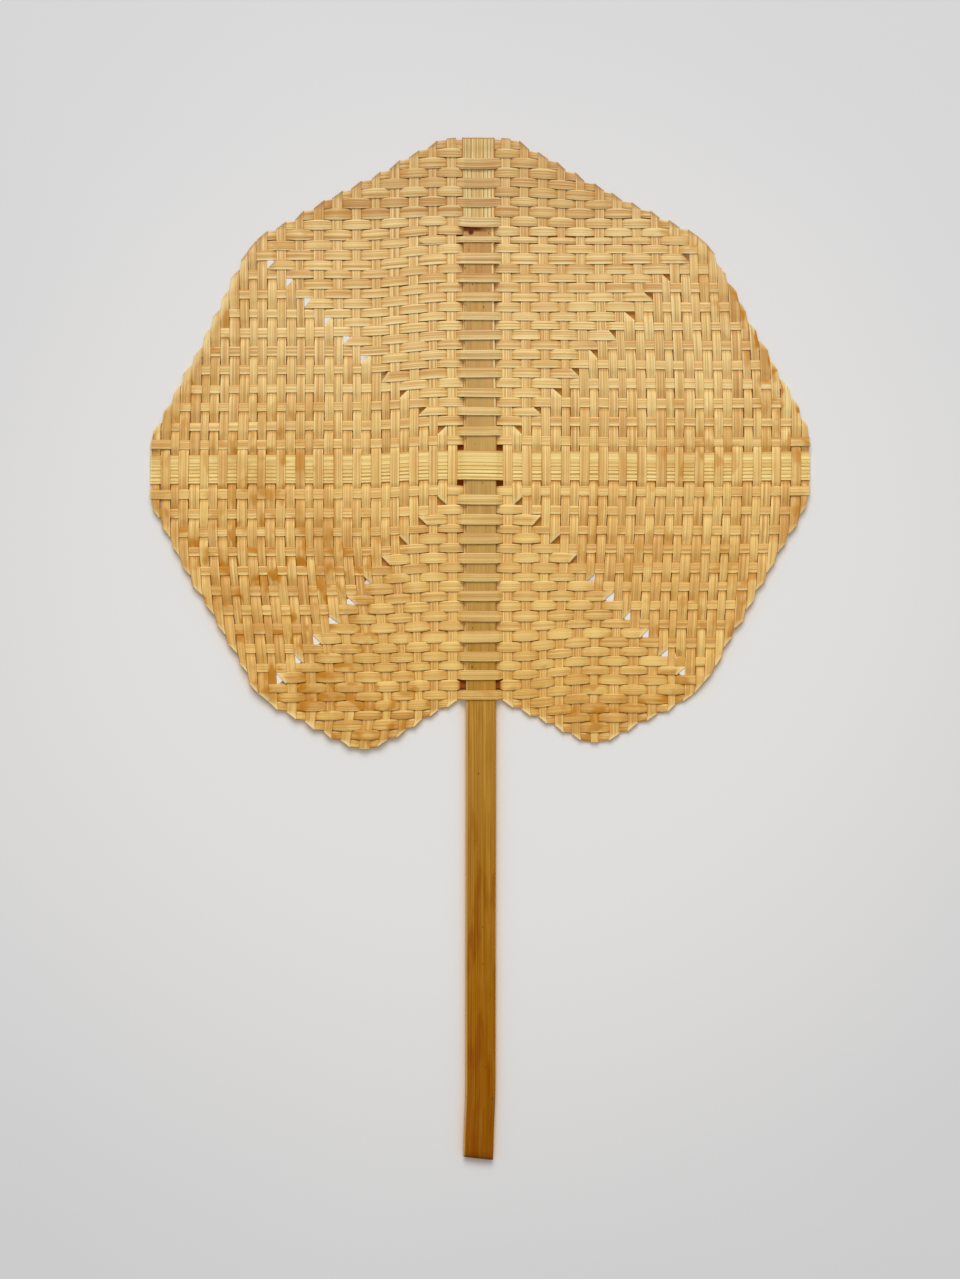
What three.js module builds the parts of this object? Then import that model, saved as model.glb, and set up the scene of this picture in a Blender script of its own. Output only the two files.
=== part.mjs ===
// A woven bamboo hand fan, lying on its back: +Y points from the handle to the top of the blade, and +Z is
// the front. Narrow strips are plaited over and under each other round a wide upright spine, a wide cross
// band and a flat stick.
import * as THREE from 'three';

// Driving dimensions, in millimetres. RINGS must be odd, so that every lobe has a middle upright.
const RINGS = 11;
const STRIP_WIDTH = 4.06;
const STRIP_THICKNESS = 0.5;
const SIDE_GAP = 0.3; // between strips that lie side by side
const LAYER_GAP = 0.1; // between strips that cross
const END_GAP = 0.4; // between two strip ends that meet in one row
const SPINE_WIDTH = 14.9;
const SPINE_THICKNESS = 0.5;
const SPINE_SIDE_GAP = 3.1; // from the spine, or the stick if that is wider, to the first upright
const BAND_WIDTH = 13.5;
const BAND_THICKNESS = 0.5;
const BAND_SIDE_GAP = 2.6; // from the cross band to the first weft
const STICK_WIDTH = 13.6;
const STICK_THICKNESS = 2;
const STICK_BEVEL = 0.4;
const GRIP_LENGTH = 211; // the stick below the weave
const EASE = 0.25; // how far a strip is level beyond the edge of a wide piece that it crosses
const RAMP_LINES = 4; // lines over which a straight strip comes back to the middle plane after a diagonal
const FOLD_SHARE = 0.7; // how much of the side gap the outer wall of a fold takes up

const STICK_COLOUR = 0xb07a32;
const WIDE_COLOUR = 0xe6c98c;
const RING_COLOUR = 0xdeb26e;
const UPRIGHT_COLOUR = 0xd8a860;
const WEFT_COLOUR = 0xd4aa73;
const ROUGHNESS = 0.55;

// Lines are counted outwards from the middle. Odd lines hold uprights and wefts, even lines hold rings,
// and beyond the last ring lie the folded ends of the uprights (as rows) and of the wefts (as columns).
const RING_LINES = 2 * RINGS;
const OUTER_LINE = 3 * RINGS - 1;
const LOBE_ROWS = (RINGS - 1) / 2;
const MIDDLE_UPRIGHT = (RINGS + 1) / 2;
const STICK_TIP_ROW = RING_LINES + 2;

const PITCH = STRIP_WIDTH + SIDE_GAP;
const HALF = STRIP_WIDTH / 2;
const STACK = STRIP_THICKNESS + LAYER_GAP; // between the middles of two strips that cross
// How far a bent strip swings at a crossing, so that it clears both edges of what it crosses.
const SWING = STACK / (1 - HALF / PITCH);
const FOLD_WALL = FOLD_SHARE * SIDE_GAP;
const FIRST_COLUMN = Math.max(SPINE_WIDTH, STICK_WIDTH) / 2 + SPINE_SIDE_GAP + HALF;
const FIRST_ROW = BAND_WIDTH / 2 + BAND_SIDE_GAP + HALF;

// Heights in the middle lane, where from back to front lie a bent strip, the spine, the stick, and a bent
// strip or the band.
const SPINE_STACK = (STRIP_THICKNESS + SPINE_THICKNESS) / 2 + LAYER_GAP;
const BAND_STACK = (STRIP_THICKNESS + BAND_THICKNESS) / 2 + LAYER_GAP;
const SPINE_HEIGHT = SPINE_STACK - SWING;
const STICK_BACK = SPINE_HEIGHT + SPINE_THICKNESS / 2 + LAYER_GAP;
const STICK_FRONT = STICK_BACK + STICK_THICKNESS;

function lineOffset(first, line) {
  return line === 0 ? 0 : Math.sign(line) * (first + (Math.abs(line) - 1) * PITCH);
}

const columnX = (column) => lineOffset(FIRST_COLUMN, column);
const rowY = (row) => lineOffset(FIRST_ROW, row);
const oddLine = (number) => 2 * number - 1;
const isEven = (number) => number % 2 === 0;

// The two ways a strip can run. number counts the uprights (met by rows) or the wefts (met by columns).
// over is 1 where the bent strip on a line passes in front of that upright or weft, and -1 where it passes
// behind. tilt is the side to which that upright or weft leans where it meets its twin, of the same number,
// on the diagonal.
const ROW = {
  crossAt: columnX,
  over: (line, number) => (isEven(Math.abs(line) + number) ? 1 : -1),
  tilt: (number) => (isEven(number) ? 1 : -1),
  laneEdge: (line) => (overStick(line) ? STICK_WIDTH : SPINE_WIDTH) / 2 + EASE,
  laneHeight: (line) => rowLaneHeight(line),
};
const COLUMN = {
  crossAt: rowY,
  over: (line, number) => (isEven(Math.abs(line) + number) ? -1 : 1),
  tilt: (number) => (isEven(number) ? -1 : 1),
  laneEdge: () => BAND_WIDTH / 2 + EASE,
  laneHeight: (line) => COLUMN.over(line, 0) * BAND_STACK,
};

function overStick(row) {
  return ROW.over(row, 0) > 0 && row <= STICK_TIP_ROW;
}

function rowLaneHeight(row) {
  if (ROW.over(row, 0) < 0) return SPINE_HEIGHT - SPINE_STACK;
  return overStick(row) ? STICK_FRONT + LAYER_GAP + STRIP_THICKNESS / 2 : SPINE_HEIGHT + SPINE_STACK;
}

// The height of a straight upright or weft where a bent strip on the given line crosses it.
function straightHeight(way, number, line) {
  const beyond = (Math.abs(line) - oddLine(number)) * PITCH;
  const share = (RAMP_LINES * PITCH - beyond) / (RAMP_LINES * PITCH - HALF);
  return way.tilt(number) * (STACK / 2) * THREE.MathUtils.clamp(share, 0, 1);
}

// A crossing in the outermost line is level, because a wrapped end lies flat against it.
function swing(way, line, number) {
  const outermost = Math.abs(line) === OUTER_LINE && number === 1;
  const lobeTip = way === ROW && line === -(RING_LINES + LOBE_ROWS) && number === MIDDLE_UPRIGHT;
  return outermost || lobeTip ? STACK : SWING;
}

function crossingHeight(way, line, number) {
  return straightHeight(way, number, line) + way.over(line, number) * swing(way, line, number);
}

// All places along a line where its strip changes slope, as [distance from the middle, height].
function lineStops(way, line) {
  const stops = [];
  const bothSides = (offset, height) => stops.push([-offset, height], [offset, height]);
  for (let number = 1; number <= RINGS && oddLine(number) < Math.abs(line); number += 1) {
    bothSides(way.crossAt(oddLine(number)), crossingHeight(way, line, number));
  }
  if (Math.abs(line) > 1) {
    const innerEdge = way.crossAt(1) - HALF;
    bothSides(innerEdge, straightHeight(way, 1, line) + way.over(line, 1) * STACK);
  }
  bothSides(way.laneEdge(line), way.laneHeight(line));
  if (!isEven(line) && Math.abs(line) < RING_LINES) {
    const number = (Math.abs(line) + 1) / 2;
    const twin = way.crossAt(Math.abs(line));
    const height = -way.tilt(number) * (STACK / 2);
    bothSides(twin - HALF, height);
    bothSides(twin + HALF, height);
    bothSides(twin + RAMP_LINES * PITCH, 0);
  }
  return stops;
}

// The stations of a strip that runs on one line from one distance to another, both left out.
function run(way, line, from, to) {
  const forward = Math.sign(to - from);
  const inside = ([at]) => (at - from) * forward > 0 && (to - at) * forward > 0;
  const stops = lineStops(way, line).filter(inside).sort((a, b) => (a[0] - b[0]) * forward);
  return stops.map(([at, height]) => station(way, line, at, height, forward));
}

function station(way, line, at, height, forward) {
  return way === ROW
    ? { x: at, y: rowY(line), z: height, heading: [forward, 0] }
    : { x: columnX(line), y: at, z: height, heading: [0, forward] };
}

// A fold turns the strip over: it comes in with one heading and height and leaves with another.
function fold(x, y, heading, height, newHeading, newHeight) {
  return { x, y, z: height, heading, newHeading, newHeight };
}

// One closed solid through a list of cross-sections with equal numbers of points.
function loft(sections) {
  const points = sections[0].length;
  const index = [];
  for (let s = 0; s + 1 < sections.length; s += 1) {
    for (let p = 0; p < points; p += 1) {
      const a = s * points + p;
      const b = s * points + ((p + 1) % points);
      index.push(a, b, b + points, a, b + points, a + points);
    }
  }
  const last = (sections.length - 1) * points;
  for (let p = 1; p + 1 < points; p += 1) {
    index.push(0, p + 1, p, last, last + p, last + p + 1);
  }
  const geometry = new THREE.BufferGeometry();
  geometry.setAttribute('position', new THREE.Float32BufferAttribute(sections.flat(2), 3));
  geometry.setIndex(index);
  return geometry;
}

// A flat strip through its stations. Its two edges and two faces change sides at each fold.
function ribbon(stations, width = STRIP_WIDTH, thickness = STRIP_THICKNESS) {
  const sections = [];
  let side = 1;
  let face = 1;
  const addSection = (at, height, edge, shift, outerFace) => {
    const corner = (edgeSign, faceSign) => {
      const level = face * faceSign;
      const out = level === outerFace ? 1 : 0;
      return [
        at.x + edgeSign * edge[0] + out * shift[0],
        at.y + edgeSign * edge[1] + out * shift[1],
        height + (level * thickness) / 2,
      ];
    };
    sections.push([corner(1, 1), corner(-1, 1), corner(-1, -1), corner(1, -1)]);
  };
  for (const at of stations) {
    const [ux, uy] = at.heading;
    const left = [(-uy * width) / 2, (ux * width) / 2];
    if (!at.newHeading) {
      addSection(at, at.z, left.map((value) => side * value), [0, 0], 0);
      continue;
    }
    const [vx, vy] = at.newHeading;
    const turn = ux * vy - uy * vx;
    const alongFold = [(turn * (ux + vx) * width) / 2, (turn * (uy + vy) * width) / 2];
    const edge = (turn === 0 ? left : alongFold).map((value) => side * value);
    const wall = turn === 0 ? thickness : FOLD_WALL;
    const reach = wall / Math.hypot(ux - vx, uy - vy);
    const shift = [(ux - vx) * reach, (uy - vy) * reach];
    const outerFace = at.newHeight < at.z ? 1 : -1;
    addSection(at, at.z, edge, shift, outerFace);
    side = -side;
    face = -face;
    addSection(at, at.newHeight, edge, shift, -outerFace);
  }
  return loft(sections);
}

const fan = new THREE.Group();

function addPiece(name, geometry, colour) {
  const finish = { color: colour, roughness: ROUGHNESS, metalness: 0, flatShading: true };
  const material = new THREE.MeshStandardMaterial(finish);
  const mesh = new THREE.Mesh(geometry, material);
  mesh.name = name;
  fan.add(mesh);
}

const numbered = (name, number) => `${name}_${String(number).padStart(2, '0')}`;

// A ring: one strip folded at four corners, with its two ends meeting behind the cross band.
function ringStations(number) {
  const line = 2 * number;
  const [x, y] = [columnX(line), rowY(line)];
  const lift = STACK + LAYER_GAP / 2;
  const rowHeight = straightHeight(ROW, number, line) + ROW.over(line, number) * lift;
  const columnHeight = straightHeight(COLUMN, number, line) + COLUMN.over(line, number) * lift;
  const endHeight = COLUMN.laneHeight(line);
  return [
    station(COLUMN, -line, -END_GAP / 2, endHeight, -1),
    ...run(COLUMN, -line, -END_GAP / 2, -y),
    fold(-x, -y, [0, -1], columnHeight, [1, 0], rowHeight),
    ...run(ROW, -line, -x, x),
    fold(x, -y, [1, 0], rowHeight, [0, 1], columnHeight),
    ...run(COLUMN, line, -y, y),
    fold(x, y, [0, 1], columnHeight, [-1, 0], rowHeight),
    ...run(ROW, line, x, -x),
    fold(-x, y, [-1, 0], rowHeight, [0, -1], columnHeight),
    ...run(COLUMN, -line, y, END_GAP / 2),
    station(COLUMN, -line, END_GAP / 2, endHeight, -1),
  ];
}

// Where two strip ends meet in an outer row or column: behind the spine or band if the line passes behind
// it, and otherwise behind the first upright or weft on its positive side.
function endsMeet(way, line) {
  const hidden = way.over(line, 0) < 0;
  return hidden
    ? { at: 0, height: way.laneHeight(line) }
    : { at: way.crossAt(1), height: crossingHeight(way, line, 1) };
}

function lobeEndsMeet(row) {
  const number = ROW.over(row, MIDDLE_UPRIGHT) < 0 ? MIDDLE_UPRIGHT : MIDDLE_UPRIGHT + 1;
  return { at: columnX(oddLine(number)), height: crossingHeight(ROW, row, number) };
}

// The stretch from the meeting point to a fold, on the given side of that point.
function leadIn(way, line, meet, side, foldAt) {
  const start = meet.at + (side * END_GAP) / 2;
  return [station(way, line, start, meet.height, side), ...run(way, line, start, foldAt)];
}

// An end that is wrapped round the outermost line, to the front (1) or the back (-1), and lies on the last
// two lines. lineAt gives the place of the outermost line, or of a line that many lines further in.
function wrappedEnd(way, line, outward, lineAt, height, stack, toSide) {
  const edge = outward * (lineAt(0) + HALF + LAYER_GAP);
  const tail = outward * (lineAt(1) - HALF);
  const wrapHeight = height + toSide * 2 * stack;
  const { x, y, heading } = station(way, line, edge, height, outward);
  const back = heading.map((value) => -value);
  const foldOut = fold(x, y, heading, height, back, wrapHeight);
  const foldIn = fold(x, y, heading, wrapHeight, back, height);
  return {
    edge,
    outgoing: [foldOut, station(way, line, tail, wrapHeight, -outward)],
    incoming: [station(way, line, tail, wrapHeight, outward), foldIn],
  };
}

const outerRow = (inward) => rowY(OUTER_LINE - inward);
const outerColumn = (inward) => columnX(OUTER_LINE - inward);
const lobeRow = (inward) => rowY(RING_LINES + LOBE_ROWS - inward);

// An upright: its upper end is folded into a row at the top and its lower end into a row of the lobe.
function uprightStations(number, side) {
  const column = side * oddLine(number);
  const x = columnX(column);
  const partner = RINGS + 1 - number;
  const stations = [];
  let top;
  if (number === 1) {
    const wrap = wrappedEnd(COLUMN, column, 1, outerRow, 0, STACK, -1);
    stations.push(...wrap.incoming);
    top = wrap.edge;
  } else {
    const row = OUTER_LINE + 2 - number;
    top = rowY(row);
    const height = straightHeight(ROW, number, row);
    const rowHeight = height + ROW.over(row, number - 1) * STACK;
    stations.push(...leadIn(ROW, row, endsMeet(ROW, row), side, x));
    stations.push(fold(x, top, [side, 0], rowHeight, [0, -1], height));
  }
  if (partner === number) {
    const wrap = wrappedEnd(COLUMN, column, -1, lobeRow, 0, STACK, -1);
    stations.push(...run(COLUMN, column, top, wrap.edge), ...wrap.outgoing);
    return stations;
  }
  const row = -(RING_LINES + Math.min(number, partner));
  const bottom = rowY(row);
  const towards = Math.sign(partner - number);
  const meet = lobeEndsMeet(row);
  const height = straightHeight(ROW, number, row);
  const rowHeight = height + ROW.over(row, number + towards) * STACK;
  const heading = side * towards;
  const stop = side * meet.at - (heading * END_GAP) / 2;
  stations.push(...run(COLUMN, column, top, bottom));
  stations.push(fold(x, bottom, [0, -1], height, [heading, 0], rowHeight));
  stations.push(...run(ROW, row, x, stop), station(ROW, row, stop, meet.height, heading));
  return stations;
}

// A weft: a row across the blade whose ends are folded into the outer columns on both sides.
function weftStations(number, side) {
  const row = side * oddLine(number);
  const y = rowY(row);
  if (number === 1) {
    const left = wrappedEnd(ROW, row, -1, outerColumn, 0, STACK, 1);
    const right = wrappedEnd(ROW, row, 1, outerColumn, 0, STACK, 1);
    return [...left.incoming, ...run(ROW, row, left.edge, right.edge), ...right.outgoing];
  }
  const column = OUTER_LINE + 2 - number;
  const x = columnX(column);
  const meet = endsMeet(COLUMN, column);
  const height = straightHeight(COLUMN, number, column);
  const columnHeight = height + COLUMN.over(column, number - 1) * STACK;
  const stop = meet.at + (side * END_GAP) / 2;
  return [
    ...leadIn(COLUMN, -column, meet, side, y),
    fold(-x, y, [0, side], columnHeight, [1, 0], height),
    ...run(ROW, row, -x, x),
    fold(x, y, [1, 0], height, [0, -side], columnHeight),
    ...run(COLUMN, column, y, stop),
    station(COLUMN, column, stop, meet.height, -side),
  ];
}

// The cross band passes in front of the stick, and both its ends are wrapped to the back.
function bandStations() {
  const left = wrappedEnd(ROW, 0, -1, outerColumn, 0, BAND_STACK, -1);
  const right = wrappedEnd(ROW, 0, 1, outerColumn, 0, BAND_STACK, -1);
  const foot = columnX(1) - HALF;
  const crest = STICK_WIDTH / 2 + EASE;
  const crestHeight = STICK_FRONT + LAYER_GAP + BAND_THICKNESS / 2;
  return [
    ...left.incoming,
    station(ROW, 0, -foot, 0, 1),
    station(ROW, 0, -crest, crestHeight, 1),
    station(ROW, 0, crest, crestHeight, 1),
    station(ROW, 0, foot, 0, 1),
    ...right.outgoing,
  ];
}

const weaveBottom = rowY(-RING_LINES) - HALF;

// The spine lies behind the stick, and its upper end is wrapped to the front.
function spineStations() {
  const top = wrappedEnd(COLUMN, 0, 1, outerRow, SPINE_HEIGHT, SPINE_STACK, 1);
  return [station(COLUMN, 0, weaveBottom, SPINE_HEIGHT, 1), ...top.outgoing];
}

// The stick: a flat slat with bevelled edges, with one cross-section at the foot of the weave.
function stickGeometry() {
  const across = STICK_WIDTH / 2;
  const section = (y) => [
    [-across, y, STICK_FRONT - STICK_BEVEL],
    [-across + STICK_BEVEL, y, STICK_FRONT],
    [across - STICK_BEVEL, y, STICK_FRONT],
    [across, y, STICK_FRONT - STICK_BEVEL],
    [across, y, STICK_BACK + STICK_BEVEL],
    [across - STICK_BEVEL, y, STICK_BACK],
    [-across + STICK_BEVEL, y, STICK_BACK],
    [-across, y, STICK_BACK + STICK_BEVEL],
  ];
  const clearOfWeave = weaveBottom - EASE;
  return loft([weaveBottom - GRIP_LENGTH, clearOfWeave, rowY(STICK_TIP_ROW)].map(section));
}

addPiece('handle_stick', stickGeometry(), STICK_COLOUR);
addPiece('spine_strip', ribbon(spineStations(), SPINE_WIDTH, SPINE_THICKNESS), WIDE_COLOUR);
addPiece('cross_band', ribbon(bandStations(), BAND_WIDTH, BAND_THICKNESS), WIDE_COLOUR);
for (let number = 1; number <= RINGS; number += 1) {
  addPiece(numbered('ring_strip', number), ribbon(ringStations(number)), RING_COLOUR);
  addPiece(numbered('upright_left', number), ribbon(uprightStations(number, -1)), UPRIGHT_COLOUR);
  addPiece(numbered('upright_right', number), ribbon(uprightStations(number, 1)), UPRIGHT_COLOUR);
  addPiece(numbered('weft_upper', number), ribbon(weftStations(number, 1)), WEFT_COLOUR);
  addPiece(numbered('weft_lower', number), ribbon(weftStations(number, -1)), WEFT_COLOUR);
}

// The origin lies under the middle of the fan, on the surface that the fan lies on.
const bounds = new THREE.Box3().setFromObject(fan);
fan.position.set(0, -(bounds.min.y + bounds.max.y) / 2, -bounds.min.z);

export default fan;
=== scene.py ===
"""A woven bamboo hand fan on a pale floor, dressed strip by strip."""
import bisect
import math
import random

import bpy
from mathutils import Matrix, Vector


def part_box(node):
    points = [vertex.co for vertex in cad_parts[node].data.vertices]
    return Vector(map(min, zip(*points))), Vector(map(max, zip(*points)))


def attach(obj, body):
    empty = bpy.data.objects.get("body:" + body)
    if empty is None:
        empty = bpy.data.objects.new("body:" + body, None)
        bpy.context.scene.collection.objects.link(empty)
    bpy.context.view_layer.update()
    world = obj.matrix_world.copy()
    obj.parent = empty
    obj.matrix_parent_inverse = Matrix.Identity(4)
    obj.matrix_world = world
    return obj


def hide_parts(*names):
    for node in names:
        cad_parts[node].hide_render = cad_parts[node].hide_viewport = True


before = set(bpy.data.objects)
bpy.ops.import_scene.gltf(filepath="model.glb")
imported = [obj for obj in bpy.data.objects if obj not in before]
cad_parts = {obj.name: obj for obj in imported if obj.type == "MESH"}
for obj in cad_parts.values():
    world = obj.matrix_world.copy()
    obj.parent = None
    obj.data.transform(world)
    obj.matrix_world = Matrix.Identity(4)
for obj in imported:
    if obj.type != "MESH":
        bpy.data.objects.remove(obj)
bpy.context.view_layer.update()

# Sizes of the weave, in millimetres. They repeat those of the solids.
RINGS = 11
STRIP_WIDTH = 4.06
STRIP_THICKNESS = 0.5
SIDE_GAP = 0.3
LAYER_GAP = 0.1
END_GAP = 0.4
SPINE_WIDTH = 14.9
SPINE_SIDE_GAP = 3.1
BAND_WIDTH = 13.5
BAND_SIDE_GAP = 2.6
STICK_WIDTH = 13.6
STICK_THICKNESS = 2.0
GRIP_LENGTH = 211.0
EASE = 0.25
RAMP_LINES = 4

# How the strips lie, in millimetres.
RISE = 0.56  # how far a bent strip swings at a crossing
ROUND_RISE = 0.66  # the same in the rounder rows
YIELD = 0.06  # how far a straight strip gives way there
FLOAT_FLAT = 1.3  # half the level stretch of a bent strip at a crossing
STRAIGHT_FLAT = 0.5
ROUND_SWELL = 0.17  # how much wider each side of a strip looks where it floats in front, in the rounder rows
PLAIN_SWELL = 0.04  # the same in the other rows and in the columns
LANE_BULGE = 0.25  # how far a strip arches over the stick or spine
TOP_BOW = 0.6  # how far a row bows downwards there, near the top
ROW_BOW = 0.2
SLOT_SWELL = -5  # the lowest weft shrinks five times as much behind the spine; its slot is painted dark as shade
SLOT_LAP = -0.5
SLOT_FROM = -1.5  # a smaller swell is that of a slot
SPINE_LAP = 1.2  # how far under the spine a strip comes to its lowest height
WIDTH_MOST = 1.07  # the widest and narrowest strips, as a share of the drawn width
WIDTH_LEAST = 0.97
LIT_SIDE = 0.45  # how much painted shade lies on a strip above one that crosses it, as a share of that below
ROW_SIDE = 0.7  # the same on a row, on both sides of an upright that crosses it
SWAY = 0.14  # how far a strip strays from its line
SWAY_LENGTH = 14.0
FOLD_RADIUS = 0.33
FOLD_STEPS = 6
SKEW_STEPS = 3
FOLD_LEAD = 0.25  # a strip starts to slant this far before the square of its fold
TUCK = 0.45  # room made for a wrapped end under the third line
STEP = 1.1  # between two cross-sections
WIDE_STEP = 1.5

# Lines are counted outwards from the middle: odd ones hold uprights and wefts, even ones hold rings,
# and beyond the last ring lie the folded ends.
RING_LINES = 2 * RINGS
OUTER_LINE = 3 * RINGS - 1
LOBE_ROWS = (RINGS - 1) // 2
MIDDLE_UPRIGHT = (RINGS + 1) // 2
STICK_TIP_ROW = RING_LINES + 2
TUCK_LINE = OUTER_LINE - 2
SLOT_ROW = 1 - RING_LINES

PITCH = STRIP_WIDTH + SIDE_GAP
HALF = STRIP_WIDTH / 2
STACK = STRIP_THICKNESS + LAYER_GAP
SWING = STACK / (1 - HALF / PITCH)
FIRST_COLUMN = max(SPINE_WIDTH, STICK_WIDTH) / 2 + SPINE_SIDE_GAP + HALF
FIRST_ROW = BAND_WIDTH / 2 + BAND_SIDE_GAP + HALF
SPINE_HEIGHT = STACK - SWING
STICK_BACK = SPINE_HEIGHT + STRIP_THICKNESS / 2 + LAYER_GAP
STICK_FRONT = STICK_BACK + STICK_THICKNESS
CREST_HEIGHT = STICK_FRONT + LAYER_GAP + STRIP_THICKNESS / 2

# The weave's own middle in the frame, from the solids of the band and the stick.
MM = 0.001
band_low, band_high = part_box("cross_band")
stick_low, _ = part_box("handle_stick")
WEAVE_ORIGIN = Vector((0, (band_low.y + band_high.y) / 2, stick_low.z - STICK_BACK * MM))

# The wide strips, in millimetres.
BAND_YIELD = 0.08  # how far the band gives way to a column that crosses it
WIDE_POINTS = 84  # across each face
WIDE_SHOULDER = 0.975  # where a face meets its edge, as a share of half the width
GROOVE_DEPTH = 0.2
GROOVE_REACH = 0.26
# Lengthwise grooves, as (share of the width from the upper or left edge, share of the depth).
BAND_GROOVES = [
    (0.06, 0.6), (0.17, 0.3), (0.28, 0.4), (0.41, 0.75), (0.53, 0.9), (0.66, 1), (0.79, 1), (0.92, 0.9),
]
SPINE_GROOVES = [
    (0.07, 0.8), (0.15, 0.9), (0.27, 1), (0.38, 0.4), (0.52, 0.5), (0.66, 0.9), (0.78, 1), (0.9, 0.8),
]

# The stick, in millimetres. STICK_WANDER holds places along it and how far its middle lies aside there.
STICK_POINTS = 32  # around it
STICK_SQUARE = 7  # how square it is across: 2 would be an ellipse
STICK_STEP = 4.0
STICK_ROUND = 0.5  # how far its ends are rounded
ROUND_ALONG = 0.4  # one more step in that rounding, as shares of it
ROUND_INSET = 0.3
STICK_CROWN = 0.3
STICK_CUT = 1.4  # how far the butt slants
STICK_CUT_REACH = 12.0
STICK_LENGTH = 427.6
STICK_KNOT = (422.2, -3.4, 0)  # along it from the butt, and across
STICK_WANDER = [(-316.0, -0.8), (-278.0, 0.2), (-105.0, 0.4), (0.0, 0.6), (112.0, -0.7)]

# How the handmade blade departs from a drawn one, in millimetres. Pairs are (start, where it is full).
SIDE_REACH = 55.0  # from the middle to where the sides depart in full
LEFT_LEAN = 5.8  # the lower sides lean inwards
LEFT_LEAN_OVER = (25.0, 105.0)
RIGHT_LEAN = 4.0
RIGHT_LEAN_TO = 110.0
LOBE_OVER = (40.0, 118.0)
RIGHT_LOBE_LIFT = 1.4
LEFT_LOBE_DROP = 0.8
LEFT_LOBE_CURL = 1.0  # how far the lobes rise from the floor
RIGHT_LOBE_CURL = -0.15
LEFT_DROP = 1.5
LEFT_TOP_DROP = 1.2
LEFT_CROWN_LIFT = 1.6
RIGHT_CROWN_DROP = 1.4
CROWN_OVER = (98.0, 125.0)
LEFT_TOP_TO = 70.0
RIGHT_TOP_OVER = (20.0, 110.0)
SIDES_MEET = 30.0
TOP_SHIFT = 0.6
RIGHT_SQUEEZE = 0.021  # as a share of the distance from the middle
LEFT_SQUEEZE = 0.014
LEFT_TIP_EASE = 0.45  # how much less the left lobe's tip leans, as a share
TIP_OVER = (105.0, 130.0)
CORNER_AT = 203.0  # the lower right corner is cut back beyond this sum of the distances from the middle
CORNER_CUT = 0.14
CENTRE_DROP = 1.5  # how far the lower rows hang down at the stick
CENTRE_OVER = (58.0, 84.0)
CENTRE_REACH = 55.0
# Short waves stretch and squeeze the weave, as strips differ in width and still lie close, and long ones
# make its lines wander. Each is (reach, length across, length upwards, phase).
WAVE_DRIFT = 60.0
COLUMN_WAVES = [(0.24, 1.9, WAVE_DRIFT, 0.5), (0.2, 3.3, WAVE_DRIFT, 2.0)]
ROW_WAVES = [(0.18, WAVE_DRIFT, 1.7, 1.1), (0.16, WAVE_DRIFT, 3.1, 0.3)]
WANDER_ASIDE = [(0.25, math.inf, 31.0, 0.7), (0.15, 19.0, 47.0, 0.0)]
WANDER_UP = [(0.25, 37.0, math.inf, 2.1), (0.15, -53.0, 23.0, 0.4)]

# Lines along the rim at which the corners of the folds are drawn in. They fall by a half for one across.
FLANK_RIM = 156.0
TOP_RIM = 155.4
LOBE_RIM = 127.6
RIM_SLOPE = 0.5
RIM_PULL = 0.34
# A highlight is painted on the blade's edge at its upper left, where the light catches it.
RIM_HIGHLIGHT = 1.1
HIGHLIGHT_EDGE = (-2.2, 0.6)
HIGHLIGHT_ABOVE = (28.0, 48.0)
HIGHLIGHT_LEFT = (-90.0, -100.0)
# A row has a pale lower edge. The rounder rows have a painted highlight on their upper edge too.
LOWER_LIP = 0.8
UPPER_HIGHLIGHT = 0.72
UPPER_EASE = 0.06
SECTOR_BLEND = 4.0
# Folds get painted highlights, stronger in the lobes, and painted shade near the top.
LOBE_CREASE_HIGHLIGHT = 0.9
TOP_CREASE_SHADE = -1.7
TOP_CREASE_SHADE_OVER = (60.0, 112.0)

# How worn the blade is, and where: at its rim, in the lobes, beside the band's ends and low at its sides.
RIM_WORN = 1.2
RIM_WEAR = (0.86, 1.02)  # as shares of the way out
FLANK_FALL = 0.52
TOP_WEAR = 160.0
TOP_FALL = 0.6
RIM_LESS = 0.75  # how much less it is near the top
RIM_LESS_ABOVE = (60.0, 110.0)
LOBE_WORN = 0.95
LOBE_WEAR = (70.0, 115.0)
LOBE_LEAST = 0.35  # beside the stick, as a share
LOBE_ASIDE = (6.0, 30.0)
LEFT_END_WORN = 0.95
RIGHT_END_WORN = 0.65
END_WEAR_AT = 98.0
END_WEAR_ACROSS = 30.0
END_WEAR_UP = 26.0
LEFT_LOW_WORN = 1.15
RIGHT_LOW_WORN = 0.5
LOW_WEAR = (0.0, 45.0)
LOW_ASIDE = (20.0, 70.0)

# The free end of the outermost ring lies doubled on its other end, thin and pale.
FREE_END_AT = -27.6
DOUBLED_TO = -1  # the column under which the other end stops
DOUBLED_LIFT = 0.35
CLOSING = 0.15  # how far its neighbours close up on it, as a share of their distance
CLOSING_REACH = 6.0
# As (place along the strip, share of the width, share of the tone).
FREE_END = [
    (0.0, 0.2, -1.2), (3.0, 0.7, -1.2), (60.0, 0.74, -0.9), (108.0, 0.88, -0.2), (125.0, 1.0, 0.6),
    (390.0, 1.0, 0.6), (420.0, 1.0, -0.9), (480.0, 1.0, -0.9), (510.0, 1.0, 0.6),
]

# Studio, in metres.
FLOOR_SIZE = 12.0
FLOOR_GAP = 0.0006
FLOOR_LEVELS = (217, 216, 217)
FLOOR_CLOUDS = 3  # how many levels darker it is in places
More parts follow.
